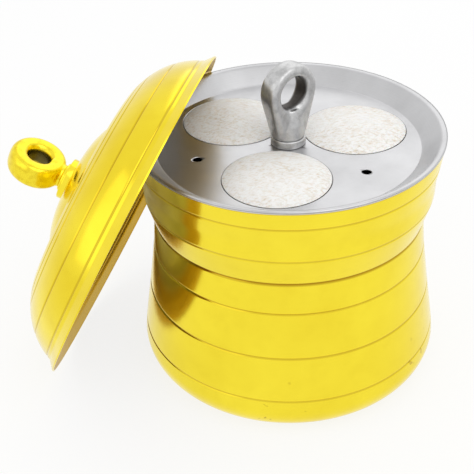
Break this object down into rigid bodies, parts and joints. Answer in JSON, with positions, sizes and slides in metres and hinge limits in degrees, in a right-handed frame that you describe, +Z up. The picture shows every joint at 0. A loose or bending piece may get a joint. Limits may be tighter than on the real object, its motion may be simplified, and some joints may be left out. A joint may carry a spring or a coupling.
{
  "type": "idli steamer",
  "caption": "Waisted brass steaming pot with a lift-out stack of dished idli trays on a centre rod with a ring handle, filled with idlis, its domed brass lid leaning on the mouth.",
  "frame": {"origin": "centre of the pot's flat base, on the table", "axes": "+Z up along the pot's axis, -Y towards the viewer of the picture, -X towards the leaning lid"},
  "size_m": [0.3227, 0.2578, 0.241],
  "materials": {
    "brass": "spun and polished, with turned lines; tinned grey inside the pot",
    "aluminium": "pressed sheet and castings, satin",
    "steel": "plain turned steel",
    "batter": "steamed rice batter, matte and finely pitted"
  },
  "bodies": {
    "pot": {"pot_body": "brass"},
    "tray_stack": {"upper_tray": "aluminium", "lower_tray": "aluminium", "handle_collar": "aluminium", "ring_handle": "aluminium", "spacer_sleeve": "aluminium", "clamp_washer": "steel", "rod_nut": "steel", "centre_rod": "steel"},
    "lid": {"lid_dome": "brass", "lid_boss": "brass", "lid_ring": "brass", "lid_washer": "steel", "lid_nut": "steel"},
    "front_idli": {"idli_1": "batter"},
    "right_idli": {"idli_2": "batter"},
    "left_idli": {"idli_3": "batter"}
  },
  "joints": [
    {"name": "lid_away", "type": "slide", "parent": "pot", "child": "lid", "axis": [-0.871, 0.2188, 0.4399], "range_m": [0, 0.2]},
    {"name": "stack_lift", "type": "slide", "parent": "pot", "child": "tray_stack", "axis": [0, 0, 1], "range_m": [0, 0.12]},
    {"name": "idli_1_lift", "type": "slide", "parent": "tray_stack", "child": "front_idli", "axis": [-0.104, -0.4891, 0.866], "range_m": [0, 0.024]},
    {"name": "idli_2_lift", "type": "slide", "parent": "tray_stack", "child": "right_idli", "axis": [0.4755, 0.1545, 0.866], "range_m": [0, 0.024]},
    {"name": "idli_3_lift", "type": "slide", "parent": "tray_stack", "child": "left_idli", "axis": [-0.3716, 0.3346, 0.866], "range_m": [0, 0.024]}
  ],
  "couplings": [
    {"joint": "stack_lift", "follows": "lid_away", "ratio": 0.6}
  ]
}
